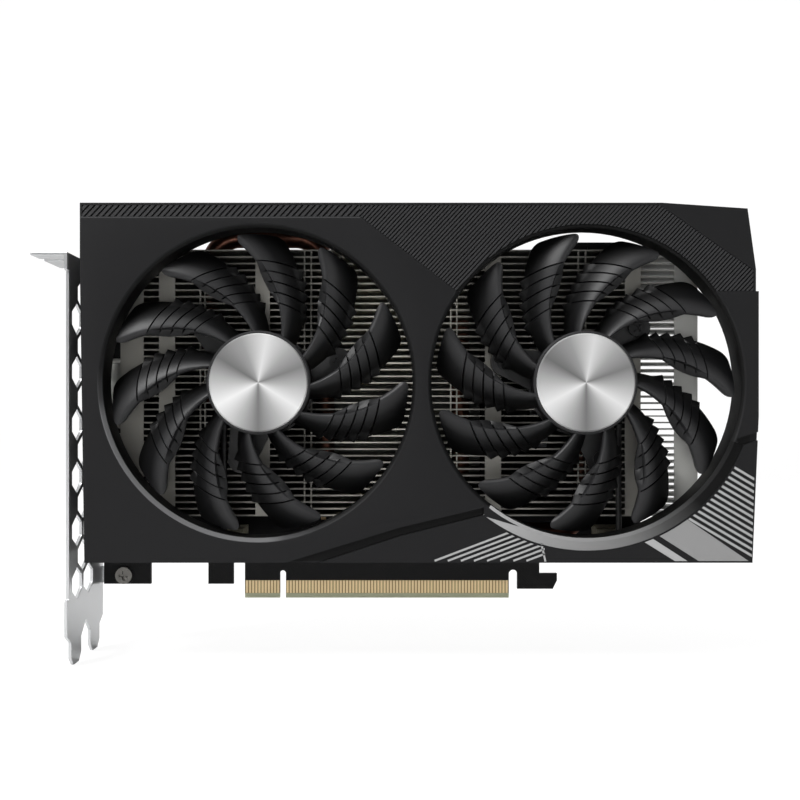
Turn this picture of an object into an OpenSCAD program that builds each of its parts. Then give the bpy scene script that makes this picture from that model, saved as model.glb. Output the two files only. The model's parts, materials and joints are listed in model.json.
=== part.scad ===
// Dual-fan, dual-slot graphics card, standing on its edge connector.
// +X runs along the card away from the bracket, -Y is the fan side, +Z is up.
// The origin is the centre of the key notch, at the lower edge of the connector,
// in the middle of the board's thickness. Millimetres.

/* [Board] */
// Thickness of the circuit board
board_t = 1.6; // [1.2:0.1:2.0]
// Distance from the key notch to the board's bracket end
board_left = 57.2; // [56:0.1:57.6]
// Distance from the key notch to the board's far end
board_right = 114.3; // [112:0.5:130]
// Height of the board's top edge
board_top = 110.8; // [110:0.1:111.6]
// Height of the board's lower edge beside the connector
board_edge = 12.5; // [11.5:0.1:14]
// Height of the lower edge of the two short tabs
tab_bottom = 4.5; // [4:0.1:6]

/* [Edge connector] */
// Width of the key notch
key_w = 1.9; // [1.8:0.05:2.0]
// Height of the key notch, with its round end
key_h = 8.8; // [8:0.1:9.5]
// Length of the short run of the connector, beside the key notch
short_run = 11.2; // [11:0.1:11.6]
// Length of the long run of the connector
long_run = 71.2; // [71:0.1:71.6]
// Distance between two contacts
contact_pitch = 1; // [0.9:0.05:1.0]
// Width of one contact
contact_w = 0.7; // [0.5:0.05:0.75]
// Height of one contact
contact_h = 4; // [3:0.1:4.5]
// Height of the lead-in bevel along the lower edge
bevel_h = 1.5; // [1:0.1:1.6]
// Width of the slot beside the long run
slot_w = 2.7; // [2.2:0.1:3]
// Length of the latch tab
latch_len = 12.7; // [12:0.1:14]
// Width of the hook in the latch tab
hook_w = 5.65; // [5:0.05:6]

/* [Bracket] */
// Distance from the key notch to the bracket's outer face
bracket_x = 59.05; // [58.9:0.05:59.2]
// Thickness of the bracket's sheet
bracket_t = 0.9; // [0.8:0.05:1.0]
// Depth of the bracket's edge on the fan side
bracket_near = 37; // [36.5:0.1:38]
// Distance that the bracket reaches behind the board's middle
bracket_far = 1.7; // [1.7:0.1:3]
// Height of the top of the screw flange
bracket_top = 105.2; // [104:0.1:106]
// Height of the lower ends of the two tongues
tongue_bottom = -14.8; // [-16:0.1:-13]
// Width of one tongue
tongue_w = 10.19; // [9.5:0.05:10.3]
// Distance between two expansion slots
slot_pitch = 20.32; // [20.32]
// Depth of the middle of the first tongue
tongue_depth = 7.5; // [7:0.1:9]
// Reach of the screw flange beyond the bracket's outer face
flange_reach = 9.7; // [9:0.1:11]
// Radius of the screw notches in the flange
notch_r = 2.2; // [2.1:0.05:2.4]
// Width of one hexagonal vent
vent_w = 10.2; // [8:0.1:10.4]
// Height of one hexagonal vent
vent_h = 9.4; // [7:0.1:11]
// Distance between two rows of vents
vent_row = 7.8; // [7.6:0.1:9]

/* [Shroud] */
// Left end of the shroud
shroud_left = -54.2; // [-55:0.1:-53.6]
// Right end of the shroud
shroud_right = 140; // [138:0.5:160]
// Height of the shroud's lower edge
shroud_bottom = 16.1; // [15:0.1:17]
// Height of the shroud's upper edge
shroud_top = 119.1; // [118.6:0.1:124]
// Depth of the shroud's front face
shroud_front = 38.2; // [38:0.1:44]
// Thickness of the shroud's walls
shroud_wall = 1.6; // [1.2:0.1:2]
// Depth at which the shroud's long walls end
shroud_back = 12; // [12:0.5:16]
// Depth of the inlay pockets in the front face
inlay_d = 0.25; // [0.15:0.05:0.4]
// Depth of the recess that holds the ribs
rib_recess = 0.6; // [0.4:0.1:0.8]

/* [Fans] */
// Distance of the first fan's axis from the key notch
fan_x = -3.4; // [-5:0.1:-2]
// Distance between the two fans' axes
fan_pitch = 94.3; // [93.4:0.1:104]
// Height of the fans' axes
fan_h = 67.7; // [66:0.1:69]
// Radius of the shroud's openings
opening_r = 44.5; // [42:0.1:45]
// Gap between the blades' tips and the opening
tip_gap = 1.3; // [0.8:0.1:3]
// Number of blades
blades = 11; // [7:1:13]
// Angle that a blade's leading edge sweeps through, in degrees
blade_sweep = 36; // [20:1:40]
// Width of a blade at the hub, seen from the front
blade_root_w = 4.4; // [3.5:0.1:6]
// Width of a blade near its tip, seen from the front
blade_tip_w = 14.2; // [10:0.1:15]
// Radius of the rotor's hub
hub_r = 15; // [14.6:0.1:17]
// Radius of the disc on the front of the hub
cap_r = 14.2; // [12:0.1:14.4]
// Radius of a fan's shaft
shaft_r = 1.5; // [1:0.1:2]
// Radial gap between the shaft and its bearing
shaft_gap = 0.03; // [0.02:0.01:0.08]
// Distance of the fan screws from the fan's axis
arm_screw_r = 23.2; // [21:0.1:26]

/* [Cooler] */
// Left end of the fins
fin_left = -46.1; // [-47:0.1:-45.6]
// Right end of the fins
fin_right = 126.3; // [122:0.1:134]
// Height of the lowest fin
fin_bottom = 28.2; // [27:0.1:30]
// Distance between two fins
fin_pitch = 1.98; // [1.6:0.02:2.0]
// Number of fins
fin_count = 41; // [33:1:41]
// Thickness of one fin
fin_t = 0.4; // [0.3:0.05:0.5]
// Depth of the fins' front edges
fin_front = 24; // [23:0.1:24.5]
// Depth of the face where the base plate meets the fins
fin_back = 6.8; // [6.8:0.1:8]
// Radius of the heat pipes
pipe_r = 3; // [2.5:0.1:3.1]
// Width of the base plate
base_w = 51.5; // [42:0.5:52]
// Height of the base plate
base_h = 79; // [76:0.5:82]
// Distance between the cooler's screws
cooler_pitch = 38; // [37:0.1:40]

/* [Processor and parts] */
// Distance of the processor's middle from the key notch
gpu_x = 36.7; // [34:0.1:38]
// Height of the processor's middle
gpu_h = 68; // [67:0.1:69]
// Side of the processor's package
package_w = 31; // [28:0.5:32]
// Thickness of the processor's package
package_t = 1.2; // [1:0.1:1.4]
// Thickness of the die
die_t = 0.7; // [0.6:0.05:0.8]
// Thickness of the thermal paste
paste_t = 0.1; // [0.05:0.05:0.2]
// Thickness of a memory chip
memory_t = 1.1; // [0.9:0.1:1.2]
// Radius of the machine screws that hold the card together
screw_r = 1.25; // [1:0.05:1.5]
// Gap around a screw that passes through a clearance hole
screw_gap = 0.3; // [0.1:0.05:0.5]

/* [Hidden] */
$fn = 64;
tiny = 0.01;

// Depths count from the board's middle towards the fans.
face = board_t / 2;
through = 60;
contact_t = 0.05;
bevel_d = 0.5;
contact_inset = 0.55;
contact_low = 1.6;
corner_r = 1;

// Edge connector and latch.
key_edge = key_w / 2;
long_end = key_edge + long_run;
latch_start = long_end + slot_w + 0.05;
latch_end = latch_start + latch_len;
latch_bottom = 2.9;
latch_chamfer = [1.35, 2.7];
hook_h = 7.85;
slot_h = 9;
short_contacts = 11;
long_contacts = 71;
small_tab = [-23.85, -15.8];
bracket_tab = -42.2;

// Screws.
cooler_spots = [for (i = [-1, 1], j = [-1, 1]) [gpu_x + i * cooler_pitch / 2, gpu_h + j * cooler_pitch / 2]];
shroud_spots = [[-50.5, 103.6], [-50.5, 33.5], [40, 20.2], [110.5, 20.2]];
bracket_spots = [[-50.6, 7.3], [-50.6, 56.5]];
head_r = 2.65;
head_h = 1.5;
recess_w = 0.8;
recess_d = 0.8;
clear_r = screw_r + screw_gap;

// Cooler stack, from the board outwards.
package_face = face + package_t;
die_face = package_face + die_t;
base_back = die_face + paste_t;
memory_face = face + memory_t;
pipe_depth = fin_back + pipe_r + 0.05;
pipe_bend = 9;
pipe_gap = 0.05;
upper_run = 113.4;
lower_run = 22;
upper_legs = [-21.5, 14];
lower_legs = [56, 94];
upper_leg_end = [62, 46];
lower_leg_end = [88, 76];
fin_top = fin_bottom + (fin_count - 1) * fin_pitch + fin_t;

// Power parts, to the right of the processor.
choke_x = 74;
choke_w = 7;
choke_h = 4.4;
power_rows = 6;
power_pitch = 10.5;
power_low = 40;

// Power socket on the top edge.
socket_left = 88.5;
socket_cols = 4;
socket_pitch = 4.2;
socket_cell = 3.5;
socket_wall = 1;
socket_w = socket_cols * socket_pitch + 2 * socket_wall - (socket_pitch - socket_cell);
socket_depth = 2 * socket_pitch + 2 * socket_wall - (socket_pitch - socket_cell);
socket_h = 14;
socket_top = board_top + 1.2;
socket_floor = 3;
socket_gap = 0.6;

// Video ports.
port_heights = [22, 45, 68, 91];
port_w = 16.6;
port_h = 5.6;
port_wall = 0.4;
port_len = 13.2;
port_out = 0.85;
port_gap = 0.2;
port_cut = 1.4;

// Bracket.
bracket_step_h = 5;
bracket_step = 1.8;
tongue_shoulder = -5.5;
tongue_neck = -7.8;
tongue_gap_h = -3.6;
tongue_chamfer = 2.4;
flange_in = 5;
notch_shift = 1.1;
tab_len = 12.5;
tab_h = 5.2;
vent_apex = 2.8;
vent_first = 8.7;
vent_rows = 12;
vent_depth = 27;

// Shroud.
shroud_inside = shroud_front - shroud_wall;
post_r = 2.6;
duct_back = 28;
duct_wall = 1.6;
lip = 1.1;
end_wall_back = 20;
corner_run = 27.7;
corner_drop = 1.65;
corner_in = 3.2;
step_h = 93.8;
step_in = 0.8;
step_up = 6.3;
taper_h = 58;
taper_in = 1.8;
left_taper_h = 101;
left_taper_in = 1.3;
ring_out = 48.2;
left_fan = [fan_x, fan_h];
right_fan = [fan_x + fan_pitch, fan_h];

// Fan stack, from the fins outwards.
boss_r = 4.2;
boss_t = 1.4;
frame_back = fin_front + boss_t;
frame_t = 1.5;
frame_front = frame_back + frame_t;
arm_angles = [16, 135, 255];
frame_r = 15.5;
arm_root = 6.4;
tube_r = 4.2;
bearing_r = 3;
bearing_back = frame_front + 0.5;
bearing_front = 34;
clip_back = frame_back + 0.8;
clip_t = 0.5;
clip_r = 2.5;
stator_back = 28.6;
stator_front = 32.6;
stator_r = 10.6;
fan_board_r = 12.8;
fan_board_t = 0.8;
seat_gap = 0.02;
cup_back = 28.4;
cup_wall = 1.2;
cap_t = 0.5;
cup_front = shroud_front - 1.5 - cap_t;
boss_in_cup_r = 3.4;
shaft_top = cup_front - cup_wall / 2;
yoke_t = 0.7;
magnet_t = 1.5;
yoke_r = hub_r - cup_wall;
magnet_r = yoke_r - yoke_t;
tip_r = opening_r - tip_gap;
blade_front = cup_front + 0.1;
blade_back = 28.9;
blade_start = 65.2;
right_phase = 11;

// ---------------------------------------------------------------- helpers

// Stands a drawing up: x stays, y becomes height, z becomes depth towards the fans.
module card_frame() {
    rotate([90, 0, 0]) children();
}

// A flat drawing (x, height), between two depths.
module slab(back, front) {
    translate([0, 0, back]) linear_extrude(front - back) children();
}

// A flat drawing (depth, height), as a sheet across the card.
module across(x_left, t) {
    translate([x_left + t, 0, 0]) rotate([0, -90, 0]) linear_extrude(t) children();
}

// A flat drawing (x, depth), as a level plate.
module level(h, t) {
    translate([0, h + t, 0]) rotate([90, 0, 0]) linear_extrude(t) children();
}

// A round bar along the depth.
module rod(spot, back, front, r) {
    translate([spot[0], spot[1], back]) cylinder(h = front - back, r = r);
}

// A cross-head screw: its head lies beyond seat, its shank reaches to tip.
module screw(spot, seat, tip, r) {
    way = seat > tip ? 1 : -1;
    top = seat + way * head_h;
    difference() {
        union() {
            rod(spot, min(seat, top), max(seat, top), head_r);
            rod(spot, min(seat, tip), max(seat, tip), r);
        }
        for (a = [0, 90])
            translate([spot[0], spot[1], top]) rotate(a)
                cube([head_r * 1.1, recess_w, 2 * recess_d], center = true);
    }
}

// A closed solid through rings of points, each ring with the same number of points.
module loft(rings) {
    n = len(rings[0]);
    m = len(rings);
    points = [for (ring = rings) for (p = ring) p];
    sides = [for (i = [0:m - 2], j = [0:n - 1])
        let (a = i * n + j, b = i * n + (j + 1) % n)
        each [[a, b, b + n], [a, b + n, a + n]]];
    first = [for (j = [1:n - 2]) [0, j + 1, j]];
    last = [for (j = [1:n - 2]) [(m - 1) * n, (m - 1) * n + j, (m - 1) * n + j + 1]];
    polyhedron(points = points, faces = concat(sides, first, last));
}

function unit(v) = v / norm(v);
function heading(path, i) =
    unit(path[min(i + 1, len(path) - 1)] - path[max(i - 1, 0)]);
function ring_at(p, way, r, sides) =
    let (u = unit(cross(way, abs(way[0]) > 0.9 ? [0, 1, 0] : [1, 0, 0])), v = cross(way, u))
    [for (k = [0:sides - 1]) p + r * (cos(k * 360 / sides) * u - sin(k * 360 / sides) * v)];

// A round cord along a path.
module cord(path, r, sides) {
    loft([for (i = [0:len(path) - 1]) ring_at(path[i], heading(path, i), r, sides)]);
}

// ---------------------------------------------------------------- board

module round_slot(x0, x1, low, top) {
    r = (x1 - x0) / 2;
    translate([x0, low]) square([x1 - x0, top - r - low]);
    translate([(x0 + x1) / 2, top - r]) circle(r);
}

module board_shape() {
    difference() {
        polygon([
            [-board_left, tab_bottom], [bracket_tab, tab_bottom], [bracket_tab, board_edge],
            [small_tab[0], board_edge], [small_tab[0], tab_bottom], [small_tab[1], tab_bottom],
            [small_tab[1], board_edge], [-key_edge - short_run, board_edge],
            [-key_edge - short_run, 0], [latch_start - slot_w, 0],
            [latch_start - slot_w, latch_bottom], [latch_end - latch_chamfer[0], latch_bottom],
            [latch_end, latch_bottom + latch_chamfer[1]], [latch_end, hook_h],
            [latch_end - hook_w, hook_h], [latch_end - hook_w, board_edge],
            [board_right, board_edge], [board_right, board_top - corner_r],
            [board_right - corner_r, board_top], [corner_r - board_left, board_top],
            [-board_left, board_top - corner_r]
        ]);
        round_slot(-key_edge, key_edge, -1, key_h);
        round_slot(latch_start - slot_w, latch_start, -1, slot_h);
        for (s = cooler_spots) translate(s) circle(clear_r);
        for (s = shroud_spots) translate(s) circle(clear_r);
        for (s = bracket_spots) translate(s) circle(clear_r);
    }
}

module pcb() color("#1f1f20") card_frame() difference() {
    slab(-face, face) board_shape();
    across(-key_edge - short_run - 1, short_run + long_run + key_w + 2) {
        polygon([
            [face - bevel_d, -1], [face + 1, -1], [face + 1, bevel_h], [face, bevel_h],
            [face - bevel_d, 0]
        ]);
        polygon([
            [bevel_d - face, -1], [-face - 1, -1], [-face - 1, bevel_h], [-face, bevel_h],
            [bevel_d - face, 0]
        ]);
    }
}

module contact_row(first, count, way) {
    for (i = [0:count - 1])
        translate([first + way * i * contact_pitch - contact_w / 2, contact_low])
            square([contact_w, contact_h]);
}

module edge_contacts() color("#d8b56a") card_frame()
    for (back = [face, -face - contact_t])
        slab(back, back + contact_t) {
            contact_row(-key_edge - contact_inset, short_contacts, -1);
            contact_row(key_edge + contact_inset, long_contacts, 1);
        }

// ---------------------------------------------------------------- processor and parts

module block(mid, size, back, front) {
    translate([mid[0] - size[0] / 2, mid[1] - size[1] / 2, back])
        cube([size[0], size[1], front - back]);
}

gpu = [gpu_x, gpu_h];
die_size = [20, 14];
memory_size = [13.5, 11.5];
memory_spots = [for (j = [-1, 1], i = [-1, 0, 1]) gpu + [i * 14.5, j * 29.5]];

module gpu_package() color("#2c4a3a") card_frame()
    block(gpu, [package_w, package_w], face, package_face);

module gpu_die() color("#53565c") card_frame()
    block(gpu, die_size, package_face, die_face);

module thermal_paste() color("#a9a9a9") card_frame()
    block(gpu, die_size, die_face, base_back);

module memory_chips() color("#26262a") card_frame()
    for (s = memory_spots) block(s, memory_size, face, memory_face);

module thermal_pads() color("#8b94a3") card_frame()
    for (s = memory_spots) block(s, memory_size - [1.5, 1.5], memory_face, base_back);

module power_chokes() color("#4a4a4d") card_frame()
    for (k = [0:power_rows - 1])
        block([choke_x, power_low + k * power_pitch], [choke_w, choke_w], face, face + choke_h);

module power_stages() color("#232325") card_frame()
    for (k = [0:power_rows - 1])
        block([choke_x - choke_w - 1, power_low + k * power_pitch], [5, 6], face, face + 1);

can_r = 2.6;
can_h = 5.2;
can_spots = [for (k = [0:power_rows - 1]) [choke_x + choke_w + 0.5, power_low + k * power_pitch]];

module polymer_capacitors() color("#b9bcc2") card_frame()
    for (s = concat(can_spots, [[-10, 40], [-10, 48], [-10, 88], [-10, 96]])) {
        block(s, [2 * can_r, 2 * can_r], face, face + 0.8);
        rod(s, face + 0.8, face + can_h, can_r - 0.1);
    }

chip_cap = [1.6, 0.8];
chip_cap_t = 0.8;

module ceramic_capacitors() color("#a58a66") card_frame() {
    for (i = [0:6], j = [0:3])
        block(gpu + [(i - 3) * 2.8, (j - 1.5) * 3.2], chip_cap, -face - chip_cap_t, -face);
    for (k = [0:power_rows - 1])
        block([choke_x - 14, power_low + k * power_pitch], chip_cap, face, face + chip_cap_t);
    for (i = [0:7])
        block([6 + i * 7, 25.5], chip_cap, face, face + chip_cap_t);
}

module control_chips() color("#1d1d1f") card_frame() {
    block([96, 70], [7, 7], face, face + 1);
    block([96, 56], [5, 6], face, face + 1.6);
    block([-30, 60], [6, 6], face, face + 1);
    block([-30, 72], [3.2, 5], face, face + 1.1);
    block([100, 38], [5, 4], face, face + 1.2);
}

// ---------------------------------------------------------------- sockets and leads

socket_mid = [socket_left + socket_w / 2, socket_top - socket_h / 2];

module socket_cells(size, low, high) {
    for (i = [0:socket_cols - 1], j = [0, 1])
        translate([
            socket_left + socket_wall + i * socket_pitch + (socket_cell - size) / 2, low,
            face + socket_gap + socket_wall + j * socket_pitch + (socket_cell - size) / 2
        ]) cube([size, high - low, size]);
}

module power_socket() color("#232323") card_frame() {
    difference() {
        block(socket_mid, [socket_w, socket_h], face + socket_gap, face + socket_gap + socket_depth);
        socket_cells(socket_cell, socket_top - socket_h + socket_floor, socket_top + 1);
    }
    for (x = [socket_left + 2, socket_left + socket_w - 2])
        rod([x, socket_mid[1]], face, face + socket_gap, 1);
    block([socket_mid[0], socket_top - 4], [4, 5], face + socket_gap + socket_depth,
        face + socket_gap + socket_depth + 0.8);
}

pin_w = 0.9;

module power_socket_pins() color("#d9c27a") card_frame()
    socket_cells(pin_w, socket_top - socket_h + socket_floor, socket_top - 3);

// Each fan's lead leaves the rim of its frame, drops over the fins' lower edge
// and turns back to a socket on the board.
lead_r = 0.9;
fan_socket_h = 21;
fan_socket_size = [8, 5];
fan_socket_t = 4;
lead_off = 11.6;
plug_t = 3.2;

function socket_spot(side) =
    [(side > 0 ? left_fan : right_fan)[0] - side * lead_off, fan_socket_h];

module fan_sockets() color("#e8e4d8") card_frame()
    for (side = [1, -1])
        difference() {
            block(socket_spot(side), fan_socket_size, face, face + fan_socket_t);
            block(socket_spot(side), fan_socket_size - [1.6, 1.6], face + 1, face + fan_socket_t + 1);
        }

module fan_plugs() color("#dedacb") card_frame()
    for (side = [1, -1])
        block(socket_spot(side), fan_socket_size - [1.8, 1.8], face + 1, face + fan_socket_t + plug_t);

function lead_path(side) =
    let (s = socket_spot(side), x = s[0], top = fan_h - lead_off - 2, out = fin_front + lead_r + 0.1,
        low = fan_socket_h, turn = 3, inside = face + fan_socket_t + plug_t)
    concat(
        [[x, top + 2, frame_back + frame_t / 2]],
        [for (k = [0:5]) [x, top - k * (top - low - turn) / 5, out]],
        [for (a = [18:18:90]) [x, low + turn - turn * sin(a), out - turn * (1 - cos(a))]],
        [for (k = [1:5]) [x, low, out - turn - k * (out - turn - inside) / 5]]
    );

module fan_leads() color("#151515") card_frame()
    for (side = [1, -1]) cord(lead_path(side), lead_r, 8);

// ---------------------------------------------------------------- video ports

// Outline of a port (depth, height), g smaller all round; the two kinds differ in their corners.
module port_shape(kind, g) {
    low = face + g;
    high = face + port_h - g;
    half = port_w / 2 - g;
    if (kind == 0)
        polygon([[low, -half], [high, -half], [high, half - port_cut], [high - port_cut, half], [low, half]]);
    else
        polygon([[low + 1.5, -half + 0.6], [low, -half + 2.2], [low, half - 2.2], [low + 1.5, half - 0.6],
            [high, half - 0.6], [high, -half + 0.6]]);
}

module each_port() {
    for (k = [0:len(port_heights) - 1])
        translate([0, port_heights[k], 0]) {
            $kind = k % 2;
            children();
        }
}

port_left = -bracket_x - port_out;

module video_port_shells() color("#c9cbce") card_frame() each_port() difference() {
    across(port_left, port_len) port_shape($kind, 0);
    across(port_left - 1, port_len) port_shape($kind, port_wall);
}

module video_port_tongues() color("#1b1b1b") card_frame() each_port()
    across(port_left + 1.2, port_len - 2.2)
        translate([face + port_h / 2 - 0.6, -port_w / 2 + 2.6]) square([1.1, port_w - 5.2]);

// ---------------------------------------------------------------- bracket

module hexagon(mid) {
    w = vent_w / 2;
    h = vent_h / 2;
    translate(mid) polygon([
        [0, -h], [w, vent_apex - h], [w, h - vent_apex], [0, h], [-w, h - vent_apex], [-w, vent_apex - h]
    ]);
}

// Odd rows hold two vents, even rows one between them.
module vents() {
    for (k = [0:vent_rows - 1])
        for (side = (k % 2 == 0 ? [0, -2] : [-1]))
            hexagon([vent_depth + side * (vent_w / 2 + 0.8), vent_first + k * vent_row]);
}

module tongue(mid) {
    w = tongue_w / 2;
    polygon([
        [mid - w, tongue_shoulder], [mid - w, tongue_bottom + tongue_chamfer],
        [mid - w + tongue_chamfer, tongue_bottom], [mid + w - tongue_chamfer, tongue_bottom],
        [mid + w, tongue_bottom + tongue_chamfer], [mid + w, tongue_shoulder]
    ]);
}

module bracket_sheet() {
    near = bracket_near;
    far = -bracket_far;
    first = tongue_depth;
    second = tongue_depth + slot_pitch;
    half = tongue_w / 2;
    polygon([
        [far, bracket_step_h], [far, tongue_shoulder], [first - half, tongue_neck],
        [first + half, tongue_neck], [(first + second) / 2, tongue_gap_h], [second - half, tongue_neck],
        [second + half, tongue_neck], [near, tongue_shoulder], [near, bracket_step_h],
        [near - bracket_step, bracket_step_h], [near - bracket_step, bracket_top - flange_in],
        [near, bracket_top - flange_in], [near, bracket_top], [far, bracket_top]
    ]);
    tongue(first);
    tongue(second);
}

module io_bracket() color("#d4d4d2") card_frame() {
    difference() {
        across(-bracket_x, bracket_t) difference() {
            bracket_sheet();
            vents();
        }
        each_port() across(-bracket_x - 1, bracket_t + 2) port_shape($kind, -port_gap);
    }
    // The screw flange, with a notch for each expansion slot.
    difference() {
        level(bracket_top - bracket_t, bracket_t) difference() {
            translate([-bracket_x - flange_reach, -bracket_far])
                square([flange_reach + bracket_t, bracket_near + bracket_far]);
            for (k = [0, 1])
                translate([-bracket_x - flange_reach / 2, tongue_depth - notch_shift + k * slot_pitch]) {
                    circle(notch_r);
                    translate([-flange_reach, -notch_r]) square([flange_reach, 2 * notch_r]);
                }
        }
    }
    // Two tabs behind the board, tapped for the board's screws.
    for (s = bracket_spots)
        difference() {
            translate([-bracket_x, s[1] - tab_h / 2, -face - bracket_t])
                cube([tab_len, tab_h, bracket_t]);
            rod(s, -through / 2, through / 2, screw_r);
        }
}

module bracket_screws() color("#8d8f92") card_frame()
    for (s = bracket_spots) screw(s, face, -face - bracket_t, screw_r);

// ---------------------------------------------------------------- cooler

plate_t = 1.2;
spring_r = 2.1;
spring_wire = 0.3;
spring_len = 2.4;
spring_turns = 2;
screw_seat = -face - plate_t - spring_len - 0.02;

// A cross-shaped spring plate behind the processor.
module retention_bracket() color("#9a9c9f") card_frame() difference() {
    slab(-face - plate_t, -face) {
        for (a = [45, -45])
            translate(gpu) rotate(a) translate([-cooler_pitch * 0.707, -3]) square([cooler_pitch * 1.414, 6]);
        for (s = cooler_spots) translate(s) circle(4);
        difference() {
            translate(gpu) circle(12);
            translate(gpu) circle(7);
        }
    }
    for (s = cooler_spots) rod(s, -through, through, clear_r);
    translate([gpu_x - 10.5, gpu_h - 6.5, -face - 1]) cube([21, 13, 2]);
}

module cooler_screws() color("#77797c") card_frame()
    for (s = cooler_spots) screw(s, screw_seat, base_back + 2, screw_r);

// One wire spring between each screw's head and the plate.
function spring_path(spot) =
    let (
        steps = spring_turns * 12,
        low = screw_seat + spring_wire + 0.01,
        rise = spring_len - 2 * spring_wire
    )
    [for (i = [0:steps]) [
        spot[0] + spring_r * cos(i * 30), spot[1] + spring_r * sin(i * 30), low + rise * i / steps
    ]];

module cooler_springs() color("#b5b7ba") card_frame()
    for (s = cooler_spots) cord(spring_path(s), spring_wire, 6);

module base_plate() color("#b3b5b5") card_frame() difference() {
    union() {
        block(gpu, [base_w, base_h], base_back, fin_back);
        for (s = cooler_spots) rod(s, face, base_back, 2.5);
    }
    for (s = cooler_spots) rod(s, face - 1, base_back + 2, screw_r);
}

// A quarter bend of pipe around mid; turn picks the quarter.
module pipe_bend_part(mid, turn, r) {
    translate([mid[0], mid[1], pipe_depth]) rotate(turn)
        rotate_extrude(angle = 90) translate([pipe_bend, 0]) circle(r);
}

module pipe_leg(x, low, high, r) {
    translate([x, low, pipe_depth]) rotate([-90, 0, 0]) cylinder(h = high - low, r = r);
}

module pipe_run(left, right, h, r) {
    translate([left, h, pipe_depth]) rotate([0, 90, 0]) cylinder(h = right - left, r = r);
}

module upper_heat_pipe() color("#8a4b35") card_frame() {
    bend = upper_run - pipe_bend;
    for (k = [0, 1]) {
        pipe_leg(upper_legs[k], upper_leg_end[k], bend, pipe_r);
        translate([upper_legs[k], upper_leg_end[k], pipe_depth]) sphere(pipe_r);
    }
    pipe_bend_part([upper_legs[0] + pipe_bend, bend], 90, pipe_r);
    pipe_bend_part([upper_legs[1] - pipe_bend, bend], 0, pipe_r);
    pipe_run(upper_legs[0] + pipe_bend, upper_legs[1] - pipe_bend, upper_run, pipe_r);
}

module lower_heat_pipe() color("#8a4b35") card_frame() {
    bend = lower_run + pipe_bend;
    for (k = [0, 1]) {
        pipe_leg(lower_legs[k], bend, lower_leg_end[k], pipe_r);
        translate([lower_legs[k], lower_leg_end[k], pipe_depth]) sphere(pipe_r);
    }
    pipe_bend_part([lower_legs[0] + pipe_bend, bend], 180, pipe_r);
    pipe_bend_part([lower_legs[1] - pipe_bend, bend], 270, pipe_r);
    pipe_run(lower_legs[0] + pipe_bend, lower_legs[1] - pipe_bend, lower_run, pipe_r);
}

// Where the fins' front edges are folded into closed strips, and where they lock together.
fold_strips = [[fin_left, 6.9], [-34.6, 4.8], [-5.8, 4.3], [62.8, 4.8], [104.6, 4.7], [fin_right - 7, 7]];
lock_lines = [-22.6, -21.2, 8.6, 10.6, 52.4, 54.2, 90.6, 92.8];
lock_w = 0.4;
socket_room = 0.8;

// A notch for a leg of pipe, open at the back and wider on the side to which the pipe bends.
module leg_hole(x, extra) {
    r = pipe_r + pipe_gap;
    translate([x, pipe_depth]) circle(r);
    translate([x + min(extra, 0) - r, fin_back - 1]) square([abs(extra) + 2 * r, pipe_depth - fin_back + 1]);
    if (extra != 0) {
        translate([x + min(extra, 0), pipe_depth]) square([abs(extra), r]);
        translate([x + extra, pipe_depth]) circle(r);
    }
}

module fin_shape(h) {
    near_top = h > upper_run - pipe_bend - 1;
    near_bottom = h < lower_run + pipe_bend + 1;
    difference() {
        translate([fin_left, fin_back]) square([fin_right - fin_left, fin_front - fin_back]);
        for (k = [0, 1]) {
            if (h > upper_leg_end[k] - pipe_r - 1)
                leg_hole(upper_legs[k], near_top ? (k == 0 ? 1 : -1) * 1.6 : 0);
            if (h < lower_leg_end[k] + pipe_r + 1)
                leg_hole(lower_legs[k], near_bottom ? (k == 0 ? 1 : -1) * 1.2 : 0);
        }
        if (h > socket_top - socket_h - 2)
            translate([socket_left - socket_room, fin_back - 1])
                square([socket_w + 2 * socket_room, face + socket_gap + socket_depth + 2 - fin_back + 1]);
    }
}

module cooling_fins() color("#8f8f8a") card_frame() {
    for (k = [0:fin_count - 1])
        level(fin_bottom + k * fin_pitch, fin_t) fin_shape(fin_bottom + k * fin_pitch);
    for (s = fold_strips)
        translate([s[0], fin_bottom, fin_front - fin_t]) cube([s[1], fin_top - fin_bottom, fin_t]);
    for (x = lock_lines)
        translate([x, fin_bottom, fin_front - 2.2]) cube([lock_w, fin_top - fin_bottom, 1.4]);
}

// ---------------------------------------------------------------- fans

// Each fan is drawn around its own axis; the right fan mirrors the left one.
module left_place() {
    translate([left_fan[0], left_fan[1], 0]) children();
}

module right_place() {
    translate([right_fan[0], right_fan[1], 0]) mirror([1, 0, 0]) children();
}

module both_fans() {
    left_place() children();
    right_place() children();
}

function arm_spot(a, r) = [r * cos(a), r * sin(a)];

module fan_bosses() color("#2a2a2a") card_frame() both_fans()
    for (a = arm_angles)
        difference() {
            rod(arm_spot(a, arm_screw_r), fin_front, frame_back, boss_r);
            rod(arm_spot(a, arm_screw_r), fin_front - 1, frame_back + 1, screw_r);
        }

module fan_frame() {
    difference() {
        union() {
            rod([0, 0], frame_back, frame_front, frame_r);
            slab(frame_back, frame_front)
                for (a = arm_angles) rotate(a) {
                    polygon([
                        [frame_r - 4, -arm_root], [arm_screw_r, -boss_r],
                        [arm_screw_r, boss_r], [frame_r - 4, arm_root]
                    ]);
                    translate([arm_screw_r, 0]) circle(boss_r);
                }
            rod([0, 0], frame_front, bearing_front, tube_r);
        }
        for (a = arm_angles) rod(arm_spot(a, arm_screw_r), 0, through, clear_r);
        rod([0, 0], clip_back - 0.3, bearing_front + 1, bearing_r);
    }
}

module left_fan_frame() color("#1c1c1c") card_frame() left_place() fan_frame();
module right_fan_frame() color("#1c1c1c") card_frame() right_place() fan_frame();

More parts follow.
